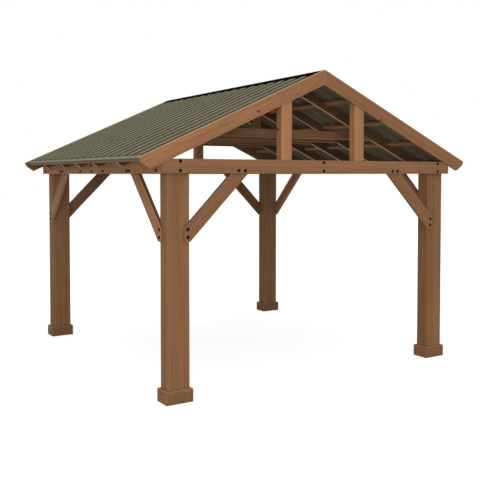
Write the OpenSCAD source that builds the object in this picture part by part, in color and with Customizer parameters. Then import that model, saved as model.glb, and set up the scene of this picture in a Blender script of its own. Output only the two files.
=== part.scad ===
// Open timber garden gazebo with a ribbed metal gable roof.
// Front gable at -Y, ridge along Y, floor at Z = 0, origin on the floor under the middle of the ridge.

/* [Plan] */
// Post spacing along the gable, centre to centre
post_span_x = 3410; // [2800:10:4000]
// Post spacing along the eave, centre to centre
post_span_y = 3475; // [2800:10:4000]
// Clear height from the floor to the underside of the beams
clear_h = 2188; // [2000:1:2500]

/* [Posts] */
// Post width along the gable
post_w = 236; // [150:1:280]
// Post depth along the eave
post_d = 154; // [110:1:200]
// Chamfer on the upright edges of a post
post_edge = 5; // [1:0.5:10]
// Height of the base trim
trim_h = 130; // [80:1:200]
// Thickness of the base trim boards
trim_t = 25; // [16:1:40]
// Chamfer along the top of the base trim
trim_edge = 6; // [2:0.5:12]
// Open joint at each mitre of the base trim
mitre_gap = 0.6; // [0.3:0.1:1]

/* [Beams and braces] */
// Thickness of the boards in the beams and ledgers
board_t = 22.5; // [20:0.5:38]
// Height of the beams
beam_h = 140; // [120:1:200]
// Height of the ledger behind each beam
ledger_h = 84; // [60:1:100]
// Boards side by side in an eave beam
eave_plies = 2; // [2:1:3]
// Width of a knee brace
brace_w = 140; // [90:1:160]
// Thickness of a knee brace, which is notched to lie one board proud of its post
brace_t = 38; // [38:1:60]
// Drop of a knee brace below the beams
brace_drop = 650; // [450:5:800]
// Lap of a knee brace on the face of its post
brace_lap = 63; // [40:1:80]
// Radius on the lower corners of a knee brace
brace_round = 10; // [4:1:20]

/* [Roof] */
// Slope of the roof in degrees
pitch = 24; // [18:0.5:30]
// Overhang of the barge boards past the eave beams, along the slope
eave_over = 255; // [200:1:340]
// Depth of a rafter, square to the slope
rafter_d = 100; // [80:1:115]
// Thickness of a rafter, collar tie and king post
rafter_t = 38; // [30:1:50]
// Depth of the seat cut in a rafter, square to the slope
seat_cut = 5; // [0:1:15]
// Spacing of the three middle rafter pairs
mid_step = 540; // [450:5:620]
// Depth of a barge board, square to the slope
barge_d = 143; // [125:1:170]
// Thickness of a barge board
barge_t = 38; // [30:1:50]
// Stand-out of a barge board in front of the gable beam
barge_lap = 15; // [8:1:20]
// Height of the barge board above the flat of the roof sheet
barge_proud = 16; // [2:1:25]
// Run of the barge boards past the eave trim, along the slope
nose_run = 36; // [15:1:80]
// Square cut left at the nose of each tail
nose_cut = 48; // [46:1:60]
// Run of the clipped corner of a tail for each unit of its depth
clip_run = 0.6; // [0.4:0.01:1]
// Thickness of the ridge board
ridge_t = 38; // [30:1:50]
// Depth of the ridge board
ridge_d = 120; // [110:1:160]
// Height of the collar ties above the beams
collar_rise = 264; // [150:1:320]
// Depth of a collar tie
collar_d = 93; // [70:1:120]
// Width of a king post
king_w = 110; // [70:1:130]

/* [Blocking and fascia] */
// Rows of blocking on each slope
block_rows = 3; // [2:1:4]
// First row from the ridge, along the slope
block_first = 588; // [300:2:700]
// Step from one row to the next, along the slope
block_step = 555; // [400:5:600]
// Width of a block along the slope
block_w = 64; // [40:1:90]
// Depth of a block, square to the slope
block_d = 38; // [25:1:60]
// Thickness of the fascia
fascia_t = 26; // [18:1:38]
// Depth of the fascia, square to the slope
fascia_d = 40; // [30:1:42]

/* [Gable studs] */
// Spacing of the gable studs, centre to centre
stud_span = 972; // [700:1:1200]
// Width of a gable stud
stud_w = 130; // [90:1:160]
// Depth of a gable stud
stud_d = 88; // [60:1:120]

/* [Roof sheets] */
// Thickness of the sheet metal
sheet_t = 2; // [1:0.1:3]
// Ribs on each slope
rib_count = 18; // [11:1:21]
// First rib from the front edge of the sheet
rib_lead = 193; // [60:1:200]
// Last rib from the rear edge of the sheet
rib_tail = 63; // [60:1:200]
// Height of a rib
rib_h = 12; // [8:0.5:20]
// Width of a rib at its top
rib_top = 78; // [40:1:90]
// Width of a rib at its foot
rib_foot = 104; // [92:1:120]
// Width of the flange of the eave trim
flange_w = 50; // [30:1:70]
// Drop of the eave trim
trim_drop = 28; // [20:1:40]
// Width of each wing of the ridge cap
cap_w = 115; // [80:1:180]

/* [Hidden] */
$fn = 32;
eps = 0.01;
cut_over = 1;

// Posts and beams
post_in_x = post_span_x / 2 - post_w / 2;
post_out_x = post_span_x / 2 + post_w / 2;
post_in_y = post_span_y / 2 - post_d / 2;
post_out_y = post_span_y / 2 + post_d / 2;
beam_top = clear_h + beam_h;
ledger_z = beam_top - ledger_h;
gable_in_y = post_out_y + board_t;
gable_out_y = gable_in_y + board_t;
eave_in_x = post_out_x + board_t;
eave_out_x = eave_in_x + eave_plies * board_t;
brace_foot = clear_h - brace_drop;
brace_rise = ledger_z - brace_foot;
brace_across = brace_w * sqrt(2);

// Roof lines, measured in the plane of the slope: u runs down from the ridge, v stands square to it.
// v = 0 is the top of the rafters.
slope = tan(pitch);
seat_x = eave_out_x - board_t;
rafter_top = beam_top + slope * seat_x + (rafter_d - seat_cut) / cos(pitch);
reach = 2 * rafter_top;
barge_top = sheet_t + barge_proud;
barge_bottom = barge_top - barge_d;
barge_end = eave_out_x / cos(pitch) + eave_over;
trim_end = barge_end - nose_run;
rafter_end = trim_end - sheet_t;
sheet_end = trim_end - flange_w;
barge_out_y = gable_out_y + barge_lap;
barge_in_y = barge_out_y - barge_t;
outer_y = (mid_step + (barge_out_y + barge_in_y) / 2) / 2;
rafter_y = [-outer_y, -mid_step, 0, mid_step, outer_y];
ridge_top = rafter_top - slope * ridge_t / 2;
collar_z = beam_top + collar_rise;
crest_v = sheet_t + rib_h;
rib_step = (2 * barge_in_y - rib_lead - rib_tail) / (rib_count - 1);
sheet_start = ridge_t / 2 / cos(pitch);

wood = "#8a6343";
wood_dark = "#77543a";
metal = "#77755f";
black = "#26241f";

// Copies a piece of the front left corner to the corner with these signs: -1 is left or front.
module corner(sx, sy) {
    mirror([sx > 0 ? 1 : 0, 0, 0]) mirror([0, sy > 0 ? 1 : 0, 0]) children();
}

// Stands a profile drawn in X and Z upright, from y0 to y1.
module upright(y0, y1) {
    translate([0, y1, 0]) rotate([90, 0, 0]) linear_extrude(y1 - y0) children();
}

// Places a profile drawn in u and v on the right slope, as a drawing in X and Z.
module on_slope() {
    translate([0, rafter_top]) rotate(-pitch) children();
}

// Everything on one side of the plumb line at x.
module plumb_side(x) {
    translate([x, -reach]) square([reach, 2 * reach]);
}

// Everything above the line at v on the right slope.
module above_slope(v) {
    on_slope() translate([-reach, v]) square([2 * reach, reach]);
}

// Outline of a rafter or barge on the right slope: a plumb top cut, a square nose and a clipped corner.
module tail_outline(top_v, depth, end_u, plumb_x) {
    intersection() {
        on_slope() polygon([
            [-depth, top_v],
            [end_u, top_v],
            [end_u, top_v - nose_cut],
            [end_u - clip_run * (depth - nose_cut), top_v - depth],
            [-depth, top_v - depth]
        ]);
        plumb_side(plumb_x);
    }
}

// Posts
module post(sx, sy) {
    color(wood) corner(sx, sy) translate([-post_span_x / 2, -post_span_y / 2, 0]) linear_extrude(beam_top)
        polygon([
            [-post_w / 2 + post_edge, -post_d / 2], [post_w / 2 - post_edge, -post_d / 2],
            [post_w / 2, -post_d / 2 + post_edge], [post_w / 2, post_d / 2 - post_edge],
            [post_w / 2 - post_edge, post_d / 2], [-post_w / 2 + post_edge, post_d / 2],
            [-post_w / 2, post_d / 2 - post_edge], [-post_w / 2, -post_d / 2 + post_edge]
        ]);
}

// One board of a base trim, on the -Y side of a post side_w wide, mitred at both ends.
module trim_board(side_w, side_d) {
    half = side_w / 2 + trim_t;
    translate([0, -side_d / 2, 0]) difference() {
        translate([-half, 0, 0]) rotate([90, 0, 90]) linear_extrude(2 * half) polygon([
            [0, 0], [0, trim_h], [trim_edge - trim_t, trim_h], [-trim_t, trim_h - trim_edge], [-trim_t, 0]
        ]);
        for (s = [0, 1]) mirror([s, 0, 0])
            translate([side_w / 2 - mitre_gap / 2, 0, -cut_over]) rotate(-45)
                translate([-half, 0, 0]) cube([2 * half, half, trim_h + 2 * cut_over]);
    }
}

module base_trim(sx, sy) {
    color(wood_dark) translate([sx * post_span_x / 2, sy * post_span_y / 2, 0])
        for (turn = [0, 180]) {
            rotate(turn) trim_board(post_w, post_d);
            rotate(turn + 90) trim_board(post_d, post_w);
        }
}

// Beams, and the ledgers behind them
module gable_beam(sy) {
    color(wood) corner(-1, sy) translate([-eave_out_x, -gable_out_y, clear_h])
        cube([2 * eave_out_x, board_t, beam_h]);
}

module eave_beam(sx) {
    color(wood) corner(sx, -1) translate([-eave_out_x, -gable_in_y, clear_h])
        cube([eave_plies * board_t, 2 * gable_in_y, beam_h]);
}

module gable_ledger(sy) {
    color(wood) corner(-1, sy) translate([-eave_in_x, -gable_in_y, ledger_z])
        cube([2 * eave_in_x, board_t, ledger_h]);
}

module eave_ledger(sx) {
    color(wood) corner(sx, -1) translate([-eave_in_x, -post_out_y, ledger_z])
        cube([board_t, 2 * post_out_y, ledger_h]);
}

// Knee braces
// Span of a brace at 45 degrees, past its post, whose inner face is at x = 0.
module brace_span() {
    polygon([
        [0, brace_foot], [brace_rise, ledger_z],
        [brace_rise - brace_across, ledger_z], [0, brace_foot + brace_across]
    ]);
}

// Outline of the whole brace, with its lap on the post on the -x side.
module brace_outline() {
    r = brace_round;
    union() {
        brace_span();
        polygon([
            [-brace_lap + r, brace_foot], [0, brace_foot], [0, brace_foot + brace_across],
            [-brace_lap, brace_foot + brace_across - brace_lap], [-brace_lap, brace_foot + r]
        ]);
        translate([-brace_lap + r, brace_foot + r]) circle(r);
    }
}

module gable_brace(sx, sy) {
    color(wood) corner(sx, sy) translate([-post_in_x, 0, 0]) union() {
        upright(-gable_in_y, -post_out_y) brace_outline();
        upright(-gable_in_y, brace_t - gable_in_y) brace_span();
    }
}

module eave_brace(sx, sy) {
    color(wood) corner(sx, sy) translate([-eave_in_x, -post_in_y, 0]) rotate([90, 0, 90]) union() {
        linear_extrude(board_t) brace_outline();
        linear_extrude(brace_t) brace_span();
    }
}

// Barge boards, lapped over the face of the gable beam and bearing on its top edge
module barge(sx, sy) {
    color(wood) corner(-sx, sy) difference() {
        upright(-barge_out_y, -barge_in_y) tail_outline(barge_top, barge_d, barge_end, 0);
        translate([-eave_out_x, -gable_out_y, clear_h]) cube([2 * eave_out_x, barge_t, beam_h]);
    }
}

// Gable studs: the front of each stops under the barge board, the back runs up behind it
module gable_studs(sy) {
    behind = barge_t - barge_lap;
    color(wood) corner(-1, sy) for (sx = [0, 1]) mirror([sx, 0, 0]) difference() {
        translate([stud_span / 2 - stud_w / 2, -gable_out_y, beam_top])
            cube([stud_w, stud_d, rafter_top - beam_top]);
        upright(-gable_out_y - cut_over, -gable_out_y + behind) above_slope(barge_bottom);
        upright(-gable_out_y - cut_over, -gable_out_y + stud_d + cut_over) above_slope(-block_d);
    }
}

// Interior rafters, collar ties, king posts and the ridge board
module each_pair() {
    for (y = rafter_y) translate([0, y, 0]) children();
}

// Section of a fascia, flush with the noses and tops of the rafters, or run past them by over.
module fascia_outline(over = 0) {
    on_slope() translate([rafter_end - fascia_t, -fascia_d]) square([fascia_t + over, fascia_d + over]);
}

module rafters(sx) {
    color(wood) mirror([sx < 0 ? 1 : 0, 0, 0]) each_pair() difference() {
        upright(-rafter_t / 2, rafter_t / 2) difference() {
            tail_outline(0, rafter_d, rafter_end, ridge_t / 2);
            fascia_outline(cut_over);
        }
        translate([seat_x - post_w, -rafter_t, clear_h])
            cube([eave_out_x - seat_x + post_w, 2 * rafter_t, beam_h]);
    }
}

// Half length of a level piece at height z, up to the underside of the rafters
function under_rafter(z) = (rafter_top - rafter_d / cos(pitch) - z) / slope;

module collar_ties() {
    low = under_rafter(collar_z);
    high = under_rafter(collar_z + collar_d);
    color(wood) each_pair() upright(-rafter_t / 2, rafter_t / 2) polygon([
        [-low, collar_z], [low, collar_z], [high, collar_z + collar_d], [-high, collar_z + collar_d]
    ]);
}

module king_posts() {
    foot = collar_z + collar_d;
    head = ridge_top - ridge_d;
    head_x = min(king_w / 2, under_rafter(head));
    shoulder = min(head, under_rafter(0) * slope - slope * king_w / 2);
    color(wood) each_pair() upright(-rafter_t / 2, rafter_t / 2) polygon([
        [-king_w / 2, foot], [king_w / 2, foot], [king_w / 2, shoulder],
        [head_x, head], [-head_x, head], [-king_w / 2, shoulder]
    ]);
}

module ridge_board() {
    color(wood) translate([-ridge_t / 2, -barge_in_y, ridge_top - ridge_d])
        cube([ridge_t, 2 * barge_in_y, ridge_d]);
}

// Rows of blocks between the rafters, level with their tops
module blocking(sx) {
    stops = concat([-barge_in_y - rafter_t / 2], rafter_y, [barge_in_y + rafter_t / 2]);
    color(wood_dark) mirror([sx < 0 ? 1 : 0, 0, 0])
        for (row = [0 : block_rows - 1], i = [1 : len(stops) - 1])
            upright(stops[i - 1] + rafter_t / 2, stops[i] - rafter_t / 2) on_slope()
                translate([block_first + row * block_step - block_w / 2, -block_d])
                    square([block_w, block_d]);
}

// Fascia let into the noses of the rafters
module fascia(sx) {
    color(wood) mirror([sx < 0 ? 1 : 0, 0, 0]) upright(-barge_in_y, barge_in_y) fascia_outline();
}

// Ribbed roof sheets
// Upper line of the sheet across the ribs, at lift above its own underside
function rib_line(lift) = concat(
    [[-barge_in_y, lift]],
    [for (i = [0 : rib_count - 1]) let (c = rib_lead - barge_in_y + i * rib_step)
        each [[c - rib_foot / 2, lift], [c - rib_top / 2, lift + rib_h],
              [c + rib_top / 2, lift + rib_h], [c + rib_foot / 2, lift]]],
    [[barge_in_y, lift]]
);

function reversed(list) = [for (i = [len(list) - 1 : -1 : 0]) list[i]];

// The ribs are closed at the eave by a plate across their lower ends.
module roof_sheet(sx) {
    color(metal) mirror([sx < 0 ? 1 : 0, 0, 0])
        translate([0, 0, rafter_top]) rotate([0, pitch, 0]) rotate([90, 0, 90]) {
            translate([0, 0, sheet_start]) linear_extrude(sheet_end - sheet_start)
                polygon(concat(rib_line(sheet_t), reversed(rib_line(0))));
            translate([0, 0, sheet_end - sheet_t]) linear_extrude(sheet_t)
                polygon(concat(rib_line(sheet_t), [[barge_in_y, 0], [-barge_in_y, 0]]));
        }
}

// Eave trim: a flange below the sheet, on the rafter tails and fascia, and a drop over the face of the fascia
module eave_trim(sx) {
    color(metal) mirror([sx < 0 ? 1 : 0, 0, 0]) upright(-barge_in_y, barge_in_y) on_slope() polygon([
        [sheet_end, 0], [rafter_end, 0], [rafter_end, sheet_t - trim_drop],
        [trim_end, sheet_t - trim_drop], [trim_end, sheet_t], [sheet_end, sheet_t]
    ]);
}

// Ridge cap, folded over the ridge and bearing on the ribs
module ridge_cap() {
    color(black) upright(-barge_in_y, barge_in_y) for (sx = [0, 1]) mirror([sx, 0]) intersection() {
        on_slope() translate([-cap_w, crest_v]) square([2 * cap_w, sheet_t]);
        plumb_side(-eps);
    }
}

post(-1, -1);  // front_left_post
post(1, -1);  // front_right_post
post(-1, 1);  // rear_left_post
post(1, 1);  // rear_right_post
base_trim(-1, -1);  // front_left_base_trim
base_trim(1, -1);  // front_right_base_trim
base_trim(-1, 1);  // rear_left_base_trim
base_trim(1, 1);  // rear_right_base_trim
gable_beam(-1);  // front_gable_beam
gable_beam(1);  // rear_gable_beam
eave_beam(-1);  // left_eave_beam
eave_beam(1);  // right_eave_beam
gable_ledger(-1);  // front_gable_ledger
gable_ledger(1);  // rear_gable_ledger
eave_ledger(-1);  // left_eave_ledger
eave_ledger(1);  // right_eave_ledger
gable_brace(-1, -1);  // front_left_gable_brace
gable_brace(1, -1);  // front_right_gable_brace
gable_brace(-1, 1);  // rear_left_gable_brace
gable_brace(1, 1);  // rear_right_gable_brace
eave_brace(-1, -1);  // front_left_eave_brace
eave_brace(1, -1);  // front_right_eave_brace
eave_brace(-1, 1);  // rear_left_eave_brace
eave_brace(1, 1);  // rear_right_eave_brace
barge(-1, -1);  // front_left_barge
barge(1, -1);  // front_right_barge
barge(-1, 1);  // rear_left_barge
barge(1, 1);  // rear_right_barge
gable_studs(-1);  // front_gable_studs
gable_studs(1);  // rear_gable_studs
rafters(-1);  // left_rafters
rafters(1);  // right_rafters
collar_ties();
king_posts();
ridge_board();
blocking(-1);  // left_blocking
blocking(1);  // right_blocking
fascia(-1);  // left_fascia
fascia(1);  // right_fascia
roof_sheet(-1);  // left_roof_sheet
roof_sheet(1);  // right_roof_sheet
eave_trim(-1);  // left_eave_trim
eave_trim(1);  // right_eave_trim
ridge_cap();
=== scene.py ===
"""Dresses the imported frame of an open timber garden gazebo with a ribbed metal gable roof.

Each sub-assembly is a class: its fields are real sizes in metres, its methods make and dress its meshes.
The front gable faces -Y, the ridge runs along Y, and the floor is Z = 0.
"""

import logging
import math
import random
from collections.abc import Iterable, Sequence
from dataclasses import dataclass, field
from enum import Enum
from itertools import product
from typing import ClassVar

import bmesh
import bpy
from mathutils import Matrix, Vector


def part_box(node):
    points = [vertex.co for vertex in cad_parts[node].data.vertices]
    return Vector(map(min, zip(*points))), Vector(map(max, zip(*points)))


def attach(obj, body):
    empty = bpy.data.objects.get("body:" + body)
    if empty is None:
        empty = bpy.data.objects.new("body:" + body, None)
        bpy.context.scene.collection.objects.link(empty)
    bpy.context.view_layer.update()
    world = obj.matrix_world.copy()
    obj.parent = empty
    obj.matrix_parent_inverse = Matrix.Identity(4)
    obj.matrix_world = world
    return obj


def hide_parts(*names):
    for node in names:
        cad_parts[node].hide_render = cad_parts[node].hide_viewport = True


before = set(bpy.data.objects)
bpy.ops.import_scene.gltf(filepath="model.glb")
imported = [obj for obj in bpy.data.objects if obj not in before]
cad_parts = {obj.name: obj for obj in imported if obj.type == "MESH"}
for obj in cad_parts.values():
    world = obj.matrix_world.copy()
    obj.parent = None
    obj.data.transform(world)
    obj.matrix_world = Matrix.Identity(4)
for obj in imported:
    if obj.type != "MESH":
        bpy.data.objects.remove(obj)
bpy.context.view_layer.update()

LOG = logging.getLogger("gazebo")
BODY = "root"
MM = 0.001
PATTERN_RUN = 40.0
END_GRAIN_FROM = 0.5
TONE_RANGE = (0.3, 1.7)
HEAD_SEED = 7
WASHER_SIDES = 20
WHITE = (1.0, 1.0, 1.0, 1.0)

# The kinds of node that come up most
MATH = "ShaderNodeMath"
VECTOR = "ShaderNodeVectorMath"
RANGE = "ShaderNodeMapRange"
MIX = "ShaderNodeMix"
NOISE = "ShaderNodeTexNoise"
ATTRIBUTE = "ShaderNodeAttribute"
PRINCIPLED = "ShaderNodeBsdfPrincipled"
JOIN_XYZ = "ShaderNodeCombineXYZ"
SPLIT_XYZ = "ShaderNodeSeparateXYZ"

# A seat is a point on a surface and the direction out of it. A span is two values of one measure.
Piece = bpy.types.Object
Tree = bpy.types.NodeTree
Socket = bpy.types.NodeSocket
Seat = tuple[Vector, Vector]
Span = tuple[float, float]


class Side(Enum):
    """The two slopes of the roof, by the sign of X."""

    LEFT = -1
    RIGHT = 1

    @property
    def out(self) -> Vector:
        """The level direction out over the eave."""
        return Vector((self.value, 0, 0))


class End(Enum):
    """The two gables, by the sign of Y."""

    FRONT = -1
    REAR = 1

    @property
    def out(self) -> Vector:
        """The level direction out of the gable."""
        return Vector((0, self.value, 0))


def node_name(piece: str, *choices: Enum) -> str:
    """Gives the name of a frame node.

    Args:
        piece: what the node is, such as post.
        choices: the gable and the slope that it belongs to, if any.

    Returns:
        The words joined as the frame names its nodes.
    """
    return "_".join([*(choice.name.lower() for choice in choices), piece])


def both(piece: str, choices: type[Enum]) -> tuple[str, ...]:
    """Names the two nodes of a piece, one for each gable or slope."""
    return tuple(node_name(piece, choice) for choice in choices)


def outer(node: str, way: Enum) -> Vector:
    """Gives the corner of a node's box that lies furthest out at a gable or on a slope."""
    low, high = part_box(node)
    return high if way.value > 0 else low


def linear(hex_code: str) -> tuple[float, float, float, float]:
    """Turns an sRGB hex value into a linear colour.

    Args:
        hex_code: the colour as #rrggbb.

    Returns:
        Linear red, green and blue, and an alpha of 1.
    """
    shares = [int(hex_code[i:i + 2], 16) / 255 for i in (1, 3, 5)]
    red, green, blue = (s / 12.92 if s <= 0.04045 else ((s + 0.055) / 1.055) ** 2.4 for s in shares)
    return red, green, blue, 1.0


def add(tree: Tree, kind: str, inputs: dict | Sequence = (), output: int | str = 0,
        **settings: object) -> Socket | None:
    """Adds a node with its settings, values and links.

    Args:
        tree: the tree that gets the node.
        kind: Blender's name for the kind of node.
        inputs: values by socket name or number, or in the sockets' order, where an output socket is linked.
        output: the name or number of the output that is wanted.
        settings: properties of the node itself.

    Returns:
        That output of the new node, or None where it has none.
    """
    node = tree.nodes.new(kind)
    for name, value in settings.items():
        setattr(node, name, value)
    for name, value in inputs.items() if isinstance(inputs, dict) else enumerate(inputs):
        if isinstance(value, Socket):
            tree.links.new(value, node.inputs[name])
        else:
            node.inputs[name].default_value = value
    return node.outputs[output] if node.outputs else None


def new_object(name: str, mesh: bpy.types.Mesh) -> Piece:
    """Links a new object at the origin.

    Args:
        name: the name of the object.
        mesh: the mesh that it shows.

    Returns:
        The object.
    """
    made = bpy.data.objects.new(name, mesh)
    bpy.context.scene.collection.objects.link(made)
    return made


def settle(piece: Piece) -> Piece:
    """Turns a piece with live modifiers into a plain mesh.

    Args:
        piece: the object to settle.

    Returns:
        The same object, with its evaluated mesh and no modifier.
    """
    graph = bpy.context.evaluated_depsgraph_get()
    mesh = bpy.data.meshes.new_from_object(
        piece.evaluated_get(graph), preserve_all_data_layers=True, depsgraph=graph)
    piece.modifiers.clear()
    piece.data = mesh
    return piece


def hand_over(piece: Piece, slot: str | None = None, *nodes: str) -> Piece:
    """Puts a finished piece on the frame's body and reports it.

    Args:
        piece: the finished object.
        slot: not used.
        nodes: the frame nodes that it stands for.

    Returns:
        The same object.
    """
    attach(piece, BODY)
    if nodes:
        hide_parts(*nodes)
    LOG.info("%s: %d faces", piece.name, len(piece.data.polygons))
    return piece


@dataclass(frozen=True)
class Finish:
    """A surface of one make. Each kind of finish builds its own shader."""

    name: str

    def material(self) -> bpy.types.Material:
        """Makes the material once.

        Returns:
            The material of this finish.
        """
        made = bpy.data.materials.get(self.name)
        if made is None:
            made = bpy.data.materials.new(self.name)
            made.use_nodes = True
            made.node_tree.nodes.clear()
            add(made.node_tree, "ShaderNodeOutputMaterial", {"Surface": self.surface(made.node_tree)})
        return made

    def surface(self, tree: Tree) -> Socket:
        """Builds the shader in the material's tree and gives its output."""
        raise NotImplementedError


@dataclass(frozen=True)
class TimberFinish(Finish):
    """Planed softwood under a brown stain: a soft sheen, streaks along the board and scattered knots.

    The mesh carries each board's own lengths in the attribute grain: along, across and deep, in metres from
    its pith. A cell is a pattern's length along the board and its width.
    """

    slot: str
    pale: str
    body: str
    dark: str
    knot: str = "#3a2417"
    # The pale of worn arrises, and of the painted highlight on faces that look up or down.
    wear_and_highlight: str = "#c79c73"
    wear_and_highlight_share: Span = (0.6, 1.0)
    sheen: float = 0.14
    ior: float = 1.46
    roughness: Span = (0.54, 0.72)
    relief: float = 0.6 * MM
    relief_share: float = 0.35

    knot_radius: float = 17 * MM
    knot_share: float = 0.5
    knot_spacing: tuple[float, float, float] = (0.4, 0.13, 0.9)
    knot_least: float = 0.3
    knot_core: float = 0.45
    knot_draw: float = 0.7
    knot_depth: float = 0.8
    wobble: float = 6 * MM
    wobble_cell: float = 20 * MM
    swirl: float = 22 * MM
    swirl_radii: float = 3.2

    # Real rings are 3 to 6 mm wide and are drawn coarser, to show at about 10 mm to the pixel.
    ring_width: float = 13 * MM
    ring_edge: float = 2.2
    ring_share: float = 0.3
    sway: float = 60 * MM
    sway_cell: Span = (0.9, 0.11)

    streak_cell: Span = (2.04, 34 * MM)
    streak_soak: Span = (0.3, 0.72)
    fibre_cell: Span = (120 * MM, 2.4 * MM)
    fibre_tones: Span = (0.88, 1.12)
    blotch_cell: Span = (0.7, 0.2)
    blotch_tones: Span = (0.86, 1.14)
    end_tones: Span = (1.0, 0.7)
    lamina: float = 0.0
    lamina_tones: Span = (0.95, 1.05)
    lamina_seed: float = 91.0

    def surface(self, tree: Tree) -> Socket:
        """Builds the shader.

        Args:
            tree: the material's tree.

        Returns:
            The shader's output.
        """
        grain = add(tree, ATTRIBUTE, attribute_name="grain", output="Vector")
        knots, swirl = self._knots(tree, grain)
        rings = self._rings(tree, grain, swirl)
        streaks, fibre = (self._noise(tree, grain, cell, detail=3.0, roughness=0.6)
                          for cell in (self.streak_cell, self.fibre_cell))
        colour = self._colour(tree, grain, rings, streaks, fibre, knots)
        rough = add(tree, RANGE, {"Value": fibre, "To Min": self.roughness[0], "To Max": self.roughness[1]})
        relief = add(tree, MATH, [rings, fibre], operation="ADD")
        bump = add(tree, "ShaderNodeBump", {
            "Height": relief, "Strength": self.relief_share, "Distance": self.relief})
        return add(tree, PRINCIPLED, {
            "Base Color": colour, "Roughness": rough, "Normal": bump, "IOR": self.ior,
            "Specular IOR Level": self.sheen})

    def _noise(self, tree: Tree, grain: Socket, cell: Span, detail: float = 2.0,
               roughness: float = 0.5) -> Socket:
        """Makes a noise that is drawn out along the board.

        Args:
            tree: the material's tree.
            grain: the board's own lengths.
            cell: its length along the board and its width.
            detail: how many finer layers it has.
            roughness: how strong they are.

        Returns:
            The noise, about 0.5 on the whole.
        """
        along, across = cell
        scaled = add(tree, VECTOR, [grain, (1 / along, 1 / across, 1 / across)], operation="MULTIPLY")
        return add(tree, NOISE, {"Vector": scaled, "Scale": 1.0, "Detail": detail, "Roughness": roughness})

    def _knots(self, tree: Tree, grain: Socket) -> tuple[Socket, Socket]:
        """Scatters knots through the wood, each drawn out through the board as a branch is.

        Args:
            tree: the material's tree.
            grain: the board's own lengths.

        Returns:
            How much a point is knot, and how far the rings are pushed aside there, in metres.
        """
        long, wide, _ = self.knot_spacing
        scale = tuple(1 / size for size in self.knot_spacing)
        cells = add(tree, VECTOR, [grain, scale], operation="MULTIPLY")
        seeds = add(tree, "ShaderNodeTexVoronoi", {"Vector": cells, "Scale": 1.0}).node.outputs
        away = add(tree, VECTOR, [cells, seeds["Position"]], operation="SUBTRACT")
        real = add(tree, VECTOR, [away, (long * self.knot_draw, wide, wide)], operation="MULTIPLY")
        distance = add(tree, VECTOR, [real], operation="LENGTH", output="Value")
        wobble = add(tree, NOISE, {"Vector": grain, "Scale": 1 / self.wobble_cell, "Detail": 2.0})
        uneven = add(tree, MATH, [wobble, self.wobble, distance], operation="MULTIPLY_ADD")
        chance = add(tree, "ShaderNodeSeparateColor", [seeds["Color"]])
        radius = add(tree, RANGE, {
            "Value": chance, "From Min": 1 - self.knot_share, "To Min": self.knot_least * self.knot_radius,
            "To Max": self.knot_radius})
        core = add(tree, MATH, [radius, self.knot_core], operation="MULTIPLY")
        mask = add(tree, RANGE, {"Value": uneven, "From Min": radius, "From Max": core},
                   interpolation_type="SMOOTHSTEP")
        swirl = add(tree, RANGE, {
            "Value": uneven, "From Min": self.swirl_radii * self.knot_radius, "From Max": 0.0,
            "To Max": self.swirl}, interpolation_type="SMOOTHSTEP")
        return mask, swirl

    def _rings(self, tree: Tree, grain: Socket, swirl: Socket) -> Socket:
        """Makes the growth rings about the pith, which sway along the board and pass round the knots.

        Args:
            tree: the material's tree.
            grain: the board's own lengths.
            swirl: how far the knots push the rings aside.

        Returns:
            0 in early wood, rising to 1 at the late wood of each ring.
        """
        flat = add(tree, VECTOR, [grain, (0.0, 1.0, 1.0)], operation="MULTIPLY")
        radius = add(tree, VECTOR, [flat], operation="LENGTH", output="Value")
        sway = self._noise(tree, grain, self.sway_cell)
        swayed = add(tree, MATH, [sway, self.sway, radius], operation="MULTIPLY_ADD")
        pushed = add(tree, MATH, [swayed, swirl], operation="ADD")
        turns = add(tree, MATH, [pushed, self.ring_width], operation="DIVIDE")
        phase = add(tree, MATH, [turns], operation="FRACT")
        return add(tree, MATH, [phase, self.ring_edge], operation="POWER")

    def _laminae(self, tree: Tree, grain: Socket, board: Socket) -> Socket:
        """Gives each glued strip of a laminated post a tone of its own.

        Args:
            tree: the material's tree.
            grain: the board's own lengths.
            board: the board's tone, which seeds the draw.

        Returns:
            A value from 0 to 1 for each strip.
        """
        across = add(tree, SPLIT_XYZ, [grain], output="Y")
        strips = add(tree, MATH, [across, self.lamina], operation="DIVIDE")
        number = add(tree, MATH, [strips], operation="FLOOR")
        seed = add(tree, MATH, [board, self.lamina_seed, number], operation="MULTIPLY_ADD")
        return add(tree, "ShaderNodeTexWhiteNoise", {"W": seed}, noise_dimensions="1D", output="Value")

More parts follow.
